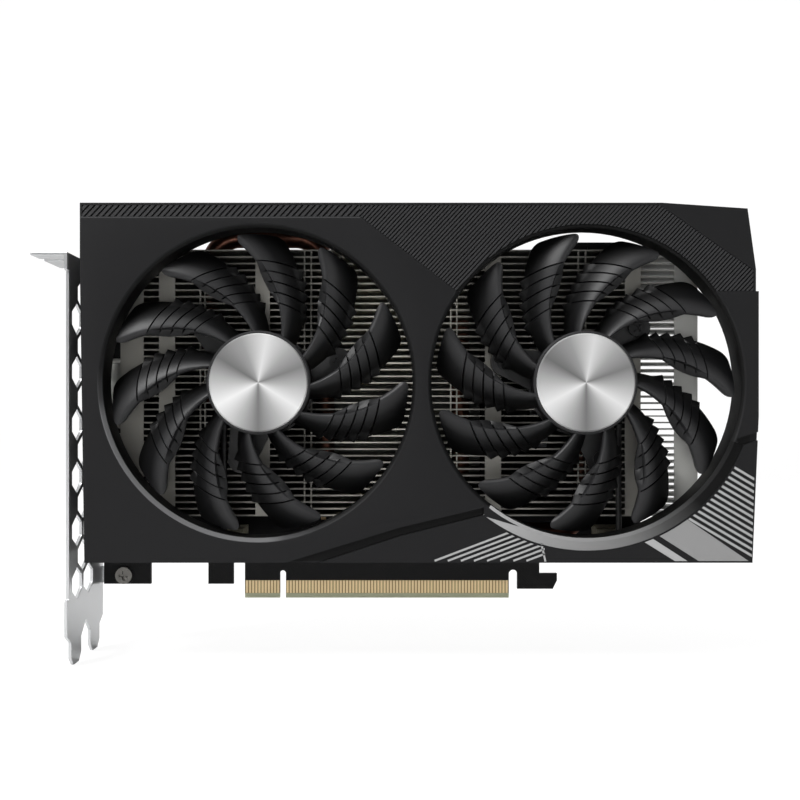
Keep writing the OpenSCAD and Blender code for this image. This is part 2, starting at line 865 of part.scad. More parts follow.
module fan_frame_screws() color("#2b2b2b") card_frame() both_fans()
    for (a = arm_angles)
        difference() {
            union() {
                rod(arm_spot(a, arm_screw_r), frame_front, frame_front + 1.1, 2.4);
                rod(arm_spot(a, arm_screw_r), fin_front + 0.1, frame_front, screw_r);
            }
            for (t = [0, 90])
                translate([arm_screw_r * cos(a), arm_screw_r * sin(a), frame_front + 1.1])
                    rotate(a + t) cube([2.8, 0.7, 1.2], center = true);
        }

module fan_bearings() color("#b08d57") card_frame() both_fans()
    difference() {
        rod([0, 0], bearing_back, bearing_front - 0.2, bearing_r);
        rod([0, 0], bearing_back - 1, bearing_front, shaft_r + shaft_gap);
    }

poles = 4;
pole_w = 2.4;
shoe_half = 36;
core_r = 6;

module stator_cores() color("#6f7277") card_frame() both_fans()
    slab(stator_back, stator_front) difference() {
        union() {
            circle(core_r);
            for (k = [0:poles - 1]) rotate(k * 360 / poles)
                translate([0, -pole_w / 2]) square([stator_r - 1, pole_w]);
            intersection() {
                difference() {
                    circle(stator_r);
                    circle(stator_r - 1.2);
                }
                for (k = [0:poles - 1]) rotate(k * 360 / poles)
                    polygon([[0, 0], arm_spot(-shoe_half, 20), arm_spot(shoe_half, 20)]);
            }
        }
        circle(tube_r + seat_gap);
    }

// A winding around each pole.
coil_w = 1.6;
coil_start = core_r + 0.3;
coil_end = stator_r - 1.2 - 0.6;

module stator_coils() color("#a3542c") card_frame() both_fans()
    for (k = [0:poles - 1]) rotate(k * 360 / poles)
        difference() {
            translate([coil_start, -pole_w / 2 - coil_w, stator_back - 0.7])
                cube([coil_end - coil_start, pole_w + 2 * coil_w, stator_front - stator_back + 1.4]);
            translate([coil_start - 1, -pole_w / 2, stator_back])
                cube([coil_end - coil_start + 2, pole_w, stator_front - stator_back]);
        }

module fan_circuit_boards() color("#1f3d2a") card_frame() both_fans()
    difference() {
        rod([0, 0], frame_front, frame_front + fan_board_t, fan_board_r);
        rod([0, 0], frame_front - 1, frame_front + fan_board_t + 1, tube_r + seat_gap);
    }

// One blade, as rings from the hub to the tip.
blade_steps = 11;
tip_round = 2.5;

function blade_t(r) = (r - hub_r) / (tip_r - hub_r);
function sweep_at(r) = blade_start + blade_sweep * (1.05 * blade_t(r) - 0.05 * pow(blade_t(r), 2));
function width_at(r) = blade_root_w + (blade_tip_w - blade_root_w) * blade_t(r);
function trim_at(r) =
    let (q = max(0, (r - tip_r + tip_round) / tip_round)) 0.46 * (1 - sqrt(max(0, 1 - q * q)));
function blade_point(r, f, side) =
    let (
        cut = trim_at(r), g = cut + f * (1 - 2 * cut),
        a = sweep_at(r) - g * width_at(r) / r * 57.3,
        thick = (2 - 0.9 * blade_t(r)) * (f == 0 || f == 1 ? 0.4 : 1),
        bow = 3.2 * g * (1 - g),
        drop = 0.6 * pow(max(0, blade_t(r)), 3),
        lead = blade_front - drop, trail = blade_back + drop
    )
    [r * cos(a), r * sin(a), lead + (trail - lead) * g + bow + side * thick / 2 - (side + 1) * 0.2];

module blade() {
    root = hub_r - cup_wall / 2;
    fractions = [0, 0.33, 0.67, 1];
    radii = [for (i = [0:blade_steps])
        i == blade_steps ? tip_r : root + (tip_r - root) * sin(90 * i / blade_steps)];
    loft([for (r = radii) concat(
        [for (k = [3:-1:0]) blade_point(r, fractions[k], 1)],
        [for (k = [0:3]) blade_point(r, fractions[k], -1)]
    )]);
}

// The moulded rotor: a cup with its boss for the shaft, and the blades.
module fan_rotor() {
    difference() {
        union() {
            tube(cup_back, cup_front, hub_r, hub_r - cup_wall);
            rod([0, 0], cup_front - cup_wall, cup_front, hub_r - cup_wall + tiny);
            rod([0, 0], bearing_front + 0.4, cup_front - cup_wall / 2, boss_in_cup_r);
        }
        rod([0, 0], cup_back, shaft_top, shaft_r);
    }
    for (k = [0:blades - 1]) rotate(k * 360 / blades) blade();
}

module fan_cap() {
    rod([0, 0], cup_front, cup_front + cap_t, cap_r);
}

module tube(back, front, outer, inner) {
    difference() {
        rod([0, 0], back, front, outer);
        rod([0, 0], back - 1, front + 1, inner);
    }
}

module fan_yoke() {
    tube(cup_back + 0.2, cup_front - cup_wall, yoke_r, magnet_r);
}

module fan_magnet() {
    tube(cup_back + 0.4, stator_front + 0.6, magnet_r, magnet_r - magnet_t);
}

module fan_shaft() {
    difference() {
        rod([0, 0], clip_back, shaft_top, shaft_r);
        tube(clip_back + 0.3, clip_back + 0.3 + clip_t, shaft_r + 1, shaft_r - 0.3);
    }
}

module shaft_clip() {
    tube(clip_back + 0.3, clip_back + 0.3 + clip_t, clip_r, shaft_r - 0.3);
}

module left_fan_rotor() color("#2a2a2a") card_frame() left_place() fan_rotor();
module right_fan_rotor() color("#2a2a2a") card_frame() right_place() rotate(-right_phase) fan_rotor();
module left_fan_cap() color("#c4c4c4") card_frame() left_place() fan_cap();
module right_fan_cap() color("#c4c4c4") card_frame() right_place() fan_cap();
module left_fan_yoke() color("#83868a") card_frame() left_place() fan_yoke();
module right_fan_yoke() color("#83868a") card_frame() right_place() fan_yoke();
module left_fan_magnet() color("#3a3a3c") card_frame() left_place() fan_magnet();
module right_fan_magnet() color("#3a3a3c") card_frame() right_place() fan_magnet();
module left_fan_shaft() color("#c8cacc") card_frame() left_place() fan_shaft();
module right_fan_shaft() color("#c8cacc") card_frame() right_place() fan_shaft();
module left_shaft_clip() color("#e6e2d6") card_frame() left_place() shaft_clip();
module right_shaft_clip() color("#e6e2d6") card_frame() right_place() shaft_clip();

// ---------------------------------------------------------------- shroud

// Outline of the shroud (x, height), g smaller all round.
module shroud_shape(g) {
    polygon([
        [shroud_left + left_taper_in + g, shroud_bottom + g],
        [shroud_right - taper_in - g, shroud_bottom + g],
        [shroud_right - g, taper_h], [shroud_right - g, step_h],
        [shroud_right - step_in - g, step_h], [shroud_right - step_in - g, step_h + step_up],
        [shroud_right - corner_in - g, shroud_top - corner_drop - g],
        [shroud_right - corner_run, shroud_top - g], [shroud_left + g, shroud_top - g],
        [shroud_left + g, left_taper_h]
    ]);
}

// The ribbed band along the top and over the right opening.
band_top = shroud_top - 0.6;
band_h = 3.4;
band_dip = [shroud_right - 114, shroud_right - 86.4];

module rib_band() {
    polygon([
        [shroud_left + 0.6, band_top], [shroud_right - corner_run - 0.5, band_top],
        [shroud_right - step_in - 0.6, step_h + step_up - 0.2], [shroud_right - step_in - 0.6, step_h],
        [band_dip[1], step_h], [band_dip[0], band_top - band_h],
        [shroud_left + 0.6, band_top - band_h]
    ]);
}

// The slanted grooves that part the lower panel from the rest.
module panel_groove() {
    polygon([
        [right_fan[0] - 89.6, shroud_bottom - 1], [right_fan[0] - 53.5, 26.2], [right_fan[0] - 29.5, 31.9],
        [right_fan[0] - 29.5, 29.7], [right_fan[0] - 53.5, 23.7], [right_fan[0] - 79.5, shroud_bottom - 1]
    ]);
    polygon([
        [right_fan[0] + 42.8, 51.6], [shroud_right + 1, 53.9], [shroud_right + 1, 51.5],
        [right_fan[0] + 43.4, 49.4]
    ]);
}

// The crescent around the lower half of the right opening.
module crescent() {
    translate(right_fan) intersection() {
        difference() {
            circle(ring_out);
            circle(opening_r);
        }
        polygon([[-29.8, -38.2], [-18.2, -41.6], [0, 0], [47, -18.8], [60, -60], [-60, -60]]);
    }
}

stripe_w = 0.6;
left_stripes = 8;
right_stripes = 13;
right_stripe_h = 40.5;
right_stripe_w = 0.8;
left_stripe_x = 47.4;
left_stripe_pitch = 3.75;
left_slope = 20.8;
right_slope = -30.6;
right_stripe_pitch = 1.86;

module lower_panel_stripes() {
    difference() {
        union() {
            for (k = [0:left_stripes - 1])
                intersection() {
                    translate([left_stripe_x + k * left_stripe_pitch, shroud_bottom + 0.3])
                        rotate(left_slope) square([40, stripe_w]);
                    polygon([[40, shroud_bottom + 0.3], [79, shroud_bottom + 0.3], [77.4, 40], [40, 40]]);
                }
            intersection() {
                for (k = [0:right_stripes - 1])
                    translate([right_fan[0] + 47, right_stripe_h - k * right_stripe_pitch])
                        rotate(right_slope) square([60, right_stripe_w], center = true);
                polygon([
                    [right_fan[0], shroud_bottom + 0.5],
                    [shroud_right - taper_in - 0.2, shroud_bottom + 0.5],
                    [shroud_right - taper_in + 0.8, 50], [right_fan[0], 60]
                ]);
            }
            polygon([[right_fan[0] - 13.4, 21.7], [right_fan[0] - 12.8, 21.7],
                [right_fan[0] - 11.6, shroud_bottom + 0.3], [right_fan[0] - 12.2, shroud_bottom + 0.3]]);
            polygon([[right_fan[0] + 20.6, 23.8], [right_fan[0] + 28.7, 28.5],
                [right_fan[0] + 46.2, shroud_bottom + 0.5], [right_fan[0] + 31.9, shroud_bottom + 0.5]]);
            polygon([[right_fan[0] + 16.1, 22.2], [right_fan[0] + 18.6, 23.1],
                [right_fan[0] + 28.7, shroud_bottom + 0.5], [right_fan[0] + 25.1, shroud_bottom + 0.5]]);
        }
        translate(right_fan) circle(ring_out + 0.4);
    }
}

module opening(mid) {
    rod(mid, -1, shroud_front + 1, opening_r);
    translate([mid[0], mid[1], shroud_front - lip])
        cylinder(h = lip + tiny, r1 = opening_r, r2 = opening_r + lip);
}

module shroud() color("#2b2b2b") card_frame() {
    difference() {
        union() {
            difference() {
                slab(shroud_back, shroud_front) shroud_shape(0);
                slab(shroud_back - 1, shroud_inside) shroud_shape(shroud_wall);
                translate([fin_right + 2, shroud_bottom - 1, shroud_back - 1])
                    cube([40, shroud_top - shroud_bottom + 2, end_wall_back - shroud_back + 1]);
            }
            for (f = [left_fan, right_fan]) rod(f, duct_back, shroud_inside + tiny, opening_r + duct_wall);
            for (s = shroud_spots) rod(s, face, shroud_inside + tiny, post_r);
        }
        for (f = [left_fan, right_fan]) opening(f);
        for (s = shroud_spots) rod(s, face - 1, face + 8, screw_r);
        slab(shroud_front - rib_recess, shroud_front + 1) rib_band();
        slab(shroud_front - 1, shroud_front + 1) panel_groove();
        slab(shroud_front - inlay_d, shroud_front + 1) {
            crescent();
            lower_panel_stripes();
        }
    }
}

module shroud_screws() color("#3a3a3a") card_frame()
    for (s = shroud_spots) screw(s, -face, face + 7, screw_r);

pcb();
edge_contacts();
gpu_package();
gpu_die();
thermal_paste();
memory_chips();
thermal_pads();
power_chokes();
power_stages();
polymer_capacitors();
ceramic_capacitors();
control_chips();
power_socket();
power_socket_pins();
fan_sockets();
fan_plugs();
fan_leads();
video_port_shells();
video_port_tongues();
io_bracket();
bracket_screws();
retention_bracket();
cooler_screws();
cooler_springs();
base_plate();
upper_heat_pipe();
lower_heat_pipe();
cooling_fins();
fan_bosses();
fan_frame_screws();
fan_bearings();
stator_cores();
stator_coils();
fan_circuit_boards();
shroud();
shroud_screws();
left_fan_frame();
left_fan_rotor();
left_fan_cap();
left_fan_yoke();
left_fan_magnet();
left_fan_shaft();
left_shaft_clip();
right_fan_frame();
right_fan_rotor();
right_fan_cap();
right_fan_yoke();
right_fan_magnet();
right_fan_shaft();
right_shaft_clip();
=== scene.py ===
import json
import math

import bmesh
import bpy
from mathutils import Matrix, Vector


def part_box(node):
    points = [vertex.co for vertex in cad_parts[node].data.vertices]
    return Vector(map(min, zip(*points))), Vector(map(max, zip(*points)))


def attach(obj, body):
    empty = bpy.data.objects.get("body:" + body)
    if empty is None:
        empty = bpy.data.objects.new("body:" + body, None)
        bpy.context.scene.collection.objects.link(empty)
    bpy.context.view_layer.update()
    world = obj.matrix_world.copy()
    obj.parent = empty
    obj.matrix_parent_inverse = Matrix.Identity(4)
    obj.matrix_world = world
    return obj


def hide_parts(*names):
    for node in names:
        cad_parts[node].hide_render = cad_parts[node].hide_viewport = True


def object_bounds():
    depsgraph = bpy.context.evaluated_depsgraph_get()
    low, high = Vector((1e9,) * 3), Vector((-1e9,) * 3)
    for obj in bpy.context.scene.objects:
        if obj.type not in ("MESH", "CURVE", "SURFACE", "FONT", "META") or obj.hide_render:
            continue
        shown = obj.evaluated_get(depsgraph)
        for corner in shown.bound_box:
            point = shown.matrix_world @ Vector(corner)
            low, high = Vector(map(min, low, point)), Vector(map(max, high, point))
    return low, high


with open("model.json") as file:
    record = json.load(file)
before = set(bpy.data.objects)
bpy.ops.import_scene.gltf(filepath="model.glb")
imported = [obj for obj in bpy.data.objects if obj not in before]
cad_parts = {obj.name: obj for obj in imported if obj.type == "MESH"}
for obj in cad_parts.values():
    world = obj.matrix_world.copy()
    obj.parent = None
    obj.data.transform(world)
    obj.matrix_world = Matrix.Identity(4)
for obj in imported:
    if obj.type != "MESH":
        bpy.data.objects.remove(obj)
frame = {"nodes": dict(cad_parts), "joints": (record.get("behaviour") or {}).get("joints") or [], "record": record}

# %% [markdown]
# # A graphics card, finished for rendering
# The card arrives as plain solids in one shared frame: +X runs along the card, -Y comes out of
# the fans' side, +Z points up, and the origin is the notch in the edge connector. This lesson
# gives every solid a finish, and remakes the pieces whose shape carries the look of the card:
# the fan blades, the ribbed band, the grey bars and the discs on the hubs.

MM = 0.001
cad_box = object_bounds()
nodes = frame["nodes"]
joints = {joint["name"]: joint for joint in frame["joints"]}
print("CAD box in mm:", [[round(c / MM, 1) for c in corner] for corner in cad_box])

# %% [markdown]
# ## Measures taken from the frame
# Each fan turns about its joint, so the joint gives the fan's middle. The shroud's box gives the
# front face. Everything made later hangs on these few points, so nothing needs fitting by eye.

# %% Places that the frame gives
fan_mid = {side: Vector(joints[side + "_fan_spin"]["pos_m"]) for side in ("left", "right")}
shroud_low, shroud_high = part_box("shroud")
front = shroud_low.y
opening_r = 44.5 * MM
FRONT = -front / MM
BAND_TOP = shroud_high.z / MM - 0.7
BAND_LOW = BAND_TOP - 3.2
BAND_CORNER = 26
print("fans at", fan_mid, "front face at", round(front / MM, 2), "mm")

# %% [markdown]
# ## Shader expressions
# A material is a graph of nodes. Written out call by call, even a simple pattern takes a page, so
# one small class wraps a socket and lets Python's own operators add the Math nodes. The `Sheet`
# holds one material's graph and adds any other node through a single method.

# %% The class that wraps a socket
class Value:
    def __init__(self, sheet, socket):
        self.sheet = sheet
        self.socket = socket

    def math(self, operation, *others):
        settings = {"operation": operation}
        inputs = dict(enumerate([self, *others]))
        return self.sheet.add("ShaderNodeMath", settings, inputs)

    def __add__(self, other):
        return self.math("ADD", other)

    def __radd__(self, other):
        return self.math("ADD", other)

    def __sub__(self, other):
        return self.math("SUBTRACT", other)

    def __rsub__(self, other):
        return self.sheet.add("ShaderNodeMath", {"operation": "SUBTRACT"}, {0: other, 1: self})

    def __mul__(self, other):
        return self.math("MULTIPLY", other)

    def __truediv__(self, other):
        return self.math("DIVIDE", other)

    def sin(self):
        return self.math("SINE")

    def clamped(self):
        return self.sheet.add("ShaderNodeClamp", {}, {0: self})


# %% The sheet that holds one material's nodes
class Sheet:
    def __init__(self, name, color, roughness, metallic=0.0, specular=0.5):
        self.material = bpy.data.materials.new(name)
        self.material.use_nodes = True
        self.tree = self.material.node_tree
        self.shader = self.tree.nodes["Principled BSDF"]
        self.material.diffuse_color = (*color, 1)
        self.set(
            {
                "Base Color": (*color, 1),
                "Roughness": roughness,
                "Metallic": metallic,
                "Specular IOR Level": specular,
            }
        )

    def add(self, kind, settings=None, inputs=None, out=0):
        node = self.tree.nodes.new(kind)
        for key, value in (settings or {}).items():
            setattr(node, key, value)
        for key, value in (inputs or {}).items():
            self.feed(node.inputs[key], value)
        return Value(self, node.outputs[out])

    def feed(self, socket, value):
        if isinstance(value, Value):
            self.tree.links.new(value.socket, socket)
        else:
            socket.default_value = value

    def set(self, inputs):
        for key, value in inputs.items():
            self.feed(self.shader.inputs[key], value)

    def place(self):
        return self.add("ShaderNodeTexCoord", {}, {}, "Object")

    def parts(self, vector):
        split = self.tree.nodes.new("ShaderNodeSeparateXYZ")
        self.feed(split.inputs[0], vector)
        return [Value(self, output) for output in split.outputs]

    def noise(self, size_mm, detail=2.0, vector=None):
        settings = {"noise_dimensions": "3D"}
        inputs = {"Scale": 1 / (size_mm * MM), "Detail": detail}
        inputs["Vector"] = vector or self.place()
        return self.add("ShaderNodeTexNoise", settings, inputs)

    def ramp(self, value, stops):
        node = self.tree.nodes.new("ShaderNodeValToRGB")
        ramp = node.color_ramp
        while len(ramp.elements) < len(stops):
            ramp.elements.new(0.5)
        for element, (position, color) in zip(ramp.elements, stops):
            element.position = position
            element.color = (*color, 1)
        self.feed(node.inputs[0], value)
        return Value(self, node.outputs[0])

    def bump(self, height, depth_mm):
        inputs = {"Height": height, "Distance": depth_mm * MM, "Strength": 1.0}
        self.set({"Normal": self.add("ShaderNodeBump", {}, inputs)})


# %% [markdown]
# ## Plain finishes
# Most of the card's parts have one even finish with a faint grain: moulded plastic, plated steel,
# sheet aluminium. One function makes them all. Grain a few tenths of a millimetre wide breaks up
# reflections the way a moulded or rolled surface does.

# %% Even finishes with a fine grain
def linear(shade):
    return shade / 12.92 if shade <= 0.04045 else ((shade + 0.055) / 1.055) ** 2.4


def paint(red, green, blue):
    return tuple(linear(channel / 255) for channel in (red, green, blue))


def plain(name, color, roughness, metallic=0.0, grain=0.0, grain_mm=0.4, specular=0.5):
    sheet = Sheet(name, color, roughness, metallic, specular)
    if grain:
        speckle = sheet.noise(grain_mm)
        sheet.set({"Roughness": roughness + (speckle - 0.5) * grain})
        sheet.bump(speckle, grain * 0.02)
    return sheet.material


finishes = {
    "contact_gold": plain("contact_gold", paint(230, 206, 160), 0.35, 0.6, 0.1),
    "package_green": plain("package_green", paint(40, 72, 54), 0.5),
    "die_grey": plain("die_grey", paint(120, 124, 130), 0.12, 1.0),
    "paste_grey": plain("paste_grey", paint(170, 170, 168), 0.7),
    "chip_black": plain("chip_black", paint(34, 34, 36), 0.5, 0, 0.2),
    "pad_blue": plain("pad_blue", paint(132, 142, 158), 0.8),
    "choke_grey": plain("choke_grey", paint(70, 70, 72), 0.55, 0, 0.2),
    "can_aluminium": plain("can_aluminium", paint(190, 192, 196), 0.3, 0.9),
    "ceramic_tan": plain("ceramic_tan", paint(168, 142, 106), 0.5),
    "socket_black": plain("socket_black", paint(30, 30, 30), 0.45, 0, 0.1),
    "socket_white": plain("socket_white", paint(150, 146, 130), 0.5),
    "lead_black": plain("lead_black", paint(20, 20, 20), 0.6),
    "port_steel": plain("port_steel", paint(150, 150, 146), 0.3, 1.0, 0.1),
    "bracket_steel": plain("bracket_steel", paint(196, 197, 198), 0.3, 0.8),
    "screw_steel": plain("screw_steel", paint(112, 110, 106), 0.35, 0.8),
    "screw_black": plain("screw_black", paint(34, 34, 35), 0.35, 0.4),
    "plate_steel": plain("plate_steel", paint(160, 162, 164), 0.35, 1.0, 0.1),
    "base_aluminium": plain("base_aluminium", paint(128, 128, 124), 0.4, 0.6, 0.1),
    "pipe_copper": plain("pipe_copper", paint(124, 84, 70), 0.32, 0.9, 0.1),
    "frame_black": plain("frame_black", paint(27, 27, 28), 0.42, 0, 0.1),
    "bearing_brass": plain("bearing_brass", paint(176, 141, 87), 0.4, 1.0),
    "core_steel": plain("core_steel", paint(110, 114, 118), 0.4, 1.0),
    "coil_copper": plain("coil_copper", paint(164, 84, 44), 0.3, 0.8),
    "board_green": plain("board_green", paint(30, 62, 42), 0.45),
    "yoke_steel": plain("yoke_steel", paint(130, 134, 138), 0.35, 1.0),
    "magnet_grey": plain("magnet_grey", paint(58, 58, 60), 0.6),
    "shaft_steel": plain("shaft_steel", paint(200, 202, 204), 0.15, 1.0),
    "clip_nylon": plain("clip_nylon", paint(230, 226, 214), 0.5),
}
print(len(finishes), "plain finishes")

# %% [markdown]
# ## The board
# A circuit board is glass fibre under a thin skin of coloured resin. Copper tracks under the skin
# show as faint raised lines. One slanted wave, broken up by noise, is enough to suggest them on the
# little of the board that is seen. Round the contacts the resin stops, and bare laminate shows.

# %% The board's solder mask
BARE_START, BARE_END = -12.2 * MM, 72.2 * MM
BARE_TOP = 5.7 * MM
RIM_TOP = 1.55 * MM
TRACK_PITCH = 0.9 * MM


def board_finish():
    sheet = Sheet("board_black", paint(18, 18, 19), 0.45, specular=0.15)
    x, _, z = sheet.parts(sheet.place())
    patches = sheet.noise(9, 1)
    lines = ((x + z) * (2 * math.pi / TRACK_PITCH)).sin() * 0.5 + 0.5
    track = (lines * 6 - 4.4).clamped() * ((patches - 0.5) * 20).clamped()
    dark, light = paint(17, 17, 18), paint(27, 27, 27)
    resin = sheet.ramp(track, [(0, dark), (1, light)])
    low_rim = z.math("LESS_THAN", RIM_TOP)
    along = x.math("GREATER_THAN", BARE_START) * x.math("LESS_THAN", BARE_END)
    between = z.math("LESS_THAN", BARE_TOP) * along
    bare = (between + low_rim) / 2
    glass = sheet.ramp(bare, [(0, dark), (0.5, paint(134, 112, 78)), (1, paint(186, 188, 160))])
    inputs = {0: between, 6: resin, 7: glass}
    mixed = sheet.add("ShaderNodeMix", {"data_type": "RGBA"}, inputs, 2)
    sheet.set({"Base Color": mixed})
    sheet.bump(track, 0.03)
    return sheet.material


finishes["board_black"] = board_finish()
print("board finish")

# %% [markdown]
# ## The fins' aluminium
# Thin bare sheet, rolled along its length. Painted light makes the sheet palest in the middle of the stack,
# between the two fans, and at the open right end, where light reaches into the stack.

# %% The fins
def fin_finish_with_painted_light():
    sheet = Sheet("fin_aluminium", paint(148, 146, 140), 0.4, 0.5)
    x = sheet.parts(sheet.place())[0]
    low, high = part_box("cooling_fins")
    along = (x - low.x) / (high.x - low.x)
    # painted light: the pale stop in the middle and the end stop at the right are light painted into the fins'
    # colour
    grey, pale, end = paint(140, 138, 132), paint(222, 219, 208), paint(196, 196, 192)
    stops = [(0.34, grey), (0.39, pale), (0.57, pale), (0.62, grey), (0.9, grey), (0.95, end)]
    sheet.set({"Base Color": sheet.ramp(along, stops)})
    grain = sheet.noise(0.4)
    sheet.set({"Roughness": 0.36 + grain * 0.1})
    return sheet.material


finishes["fin_aluminium"] = fin_finish_with_painted_light()
print("fin finish")

# %% [markdown]
# ## The shroud's plastic
# The shroud is moulded with a very fine, even texture that spreads the light, so its flat faces
# look dark grey rather than black, and its bevelled edges catch thin pale lines. Its recesses and
# the walls of its two openings get painted shade: their colour is made darker. Two painted highlights
# are added as pale lines: one runs under the ribbed band, and one follows the bevel round the lower left of the
# left opening.

# %% The shroud
def within(value, low, high):
    return value.math("GREATER_THAN", low) * value.math("LESS_THAN", high)


def shroud_finish_with_painted_light():
    sheet = Sheet("shroud_black", paint(19, 19, 20), 0.5, specular=0.15)
    x, y, z = sheet.parts(sheet.place())
    # painted shade: the recesses and the walls of the two openings are coloured darker
    sunk = y.math("GREATER_THAN", front + 0.4 * MM)
    across = within(x, shroud_low.x + 1.7 * MM, shroud_high.x - 2.2 * MM)
    upright = within(z, shroud_low.z + 0.4 * MM, shroud_high.z - 0.5 * MM)
    dark = sunk * across * upright
    # painted highlight: a pale line of colour under the ribbed band
    painted_highlight_band_zone = within(z, (BAND_LOW - 0.45) * MM, BAND_LOW * MM)
    line = painted_highlight_band_zone * x.math("LESS_THAN", BAND_CORNER * MM)
    # painted highlight: the bevel round the lower left of the left opening is coloured pale, brightest towards the
    # lower left
    right, up = x - fan_mid["left"].x, z - fan_mid["left"].z
    reach = (right * right + up * up).math("SQRT")
    painted_highlight_rim_side = (right * -0.6 + up * -0.8) / reach
    on_bevel = within(reach, opening_r + 0.1 * MM, opening_r + 1.3 * MM)
    on_bevel = on_bevel * y.math("LESS_THAN", front + 1.05 * MM)
    bevel = (painted_highlight_rim_side * 2.5 - 0.9).clamped() * on_bevel
    level = (0.4 - dark * 0.4 + line * (1 - dark) * 0.4).math("MAXIMUM", bevel)
    # colour stops: painted shade, plain plastic, painted highlight under the band, painted highlight on the bevel
    stops = [
        (0, paint(4, 4, 4)), (0.4, paint(21, 21, 22)), (0.8, paint(52, 52, 53)),
        (1, paint(88, 88, 89)),
    ]
    sheet.set({"Base Color": sheet.ramp(level, stops)})
    speckle = sheet.noise(0.25, 1)
    sheet.set({"Roughness": 0.46 + speckle * 0.12})
    sheet.bump(speckle, 0.006)
    return sheet.material


# %% The blades, darkened with depth by painted shade, and the printed bars
def blade_finish_with_painted_shade():
    sheet = Sheet("blade_black", paint(30, 30, 31), 0.4, specular=0.22)
    y = sheet.parts(sheet.place())[1]
    # painted shade: the blade's colour is darker the deeper the surface lies, and lightest at the front
    forward = ((y - front) * (-1 / (9.5 * MM)) + 1).clamped()
    painted_depth_shades = [(0.15, paint(5, 5, 5)), (0.55, paint(11, 11, 12)), (0.8, paint(41, 41, 42))]
    sheet.set({"Base Color": sheet.ramp(forward, painted_depth_shades)})
    grain = sheet.noise(0.3)
    sheet.set({"Roughness": 0.38 + grain * 0.08})
    sheet.bump(grain, 0.002)
    return sheet.material


finishes["shroud_black"] = shroud_finish_with_painted_light()
finishes["blade_black"] = blade_finish_with_painted_shade()
rib_finish = plain("rib_black", paint(42, 42, 43), 0.45, specular=0.2)
bar_finish = plain("bar_grey", paint(150, 150, 150), 0.5, 0, 0.1, 0.3)
pale_bar_finish = plain("bar_pale_grey", paint(124, 124, 124), 0.5, 0, 0.1, 0.3)
print(len(finishes), "finishes by slot")

# %% [markdown]
# ## Giving the CAD pieces their finishes
# The record says which finish each node takes. A node keeps its mesh, and only its material slot
# changes, so this is one loop over the record.

# %% Finishes for the CAD nodes
slot_of = {row["node"]: row["material_slot"] for row in frame["record"]["subparts"]}


def finish_for(node):
    return finishes.get(slot_of[node], finishes["frame_black"])


for name, piece in nodes.items():
    piece.data.materials.clear()
    piece.data.materials.append(finish_for(name))
print("finished", len(nodes), "CAD nodes")

# %% [markdown]
# ## From bmesh to a piece
# Each new piece is modelled in a bmesh in millimetres, turned into metres at the end, and set to
# ride on one of the card's bodies. Faces that meet at a sharp angle keep a hard edge, and the
# rest are shaded smooth.

# %% Turning a bmesh into a finished piece
SHARP = math.radians(32)


def make_piece(name, mesh, material, body, unit=MM, sharp=SHARP):
    bmesh.ops.transform(mesh, matrix=Matrix.Scale(unit, 4), verts=mesh.verts)
    bmesh.ops.recalc_face_normals(mesh, faces=mesh.faces)
    for face in mesh.faces:
        face.smooth = True
    for edge in mesh.edges:
        edge.smooth = len(edge.link_faces) == 2 and edge.calc_face_angle(0) < sharp
    data = bpy.data.meshes.new(name)
    mesh.to_mesh(data)
    mesh.free()
    data.materials.append(material)
    piece = bpy.data.objects.new(name, data)
    bpy.context.scene.collection.objects.link(piece)
    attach(piece, body)
    print(name, len(data.polygons), "faces")
    return piece


# %% [markdown]
# ## Softening the moulded and pressed parts
# A CAD solid has perfectly sharp edges, and real ones are rounded by the mould or the press. A
# copy of the solid is merged into whole faces, and then every sharp edge gets a narrow bevel that
# catches the light. The edges of the bevel stay sharp, so that the flat faces are shaded flat. The
# copy stands for the CAD node.

# %% A bevelled copy of a CAD node
BEVEL_ABOVE = math.radians(28)
FLAT_ABOVE = math.radians(15)


def softened(node, width_mm):
    mesh = bmesh.new()
    mesh.from_mesh(nodes[node].data)
    bmesh.ops.remove_doubles(mesh, verts=mesh.verts, dist=0.5e-5)
    bmesh.ops.dissolve_limit(
        mesh, angle_limit=math.radians(0.5), verts=mesh.verts, edges=mesh.edges, delimit={"NORMAL"}
    )
    edges = [e for e in mesh.edges if len(e.link_faces) == 2 and e.calc_face_angle(0) > BEVEL_ABOVE]
    bmesh.ops.bevel(
        mesh, geom=edges, offset=width_mm * MM, offset_type="OFFSET", segments=2,
        profile=0.5, affect="EDGES", clamp_overlap=True, material=-1,
    )
    piece = make_piece(
        node + "_softened", mesh, finish_for(node), "card", unit=1, sharp=FLAT_ABOVE
    )
    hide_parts(node)


softened("shroud", 0.25)
softened("io_bracket", 0.12)
softened("pcb", 0.08)

# %% [markdown]
# ## The fan blades
# Each blade is a curved scoop: narrow at the hub, wide and rounded at the tip, and swept forwards.
# Its front carries five narrow grooves, a low ledge runs along its leading edge and its back edge
# is toothed. A flat grid gives the right count of points. A formula then moves each one to its
# place, which keeps the steps exact, and extruding the whole sheet backwards gives the blade its
# thickness.

# %% The blade's measures
BLADES = 11
ROOT_R = 14.6
HUB_R = 15
TIP_R = 43.2
RIDGES = 5
RIDGE_START = 20.8
RIDGE_END = 35.2
RIDGE_PITCH = (RIDGE_END - RIDGE_START) / RIDGES
GROOVES = [RIDGE_START + RIDGE_PITCH * k for k in range(1, RIDGES + 1)]
GROOVE_W = 0.26
GROOVE_DEPTH = 0.7
RIDGE_HEIGHT = 0.25
TOOTH = 1.6
LEDGE = 1.7
LEDGE_MID, LEDGE_REACH = 29, 5.6
CREST = 1.1
TIP_SWEEP = 0.6
BLADE_T = 1.1
BLADE_FRONT = 36.2
BLADE_BACK = 28.8
RIGHT_FAN_TURN = math.radians(11)


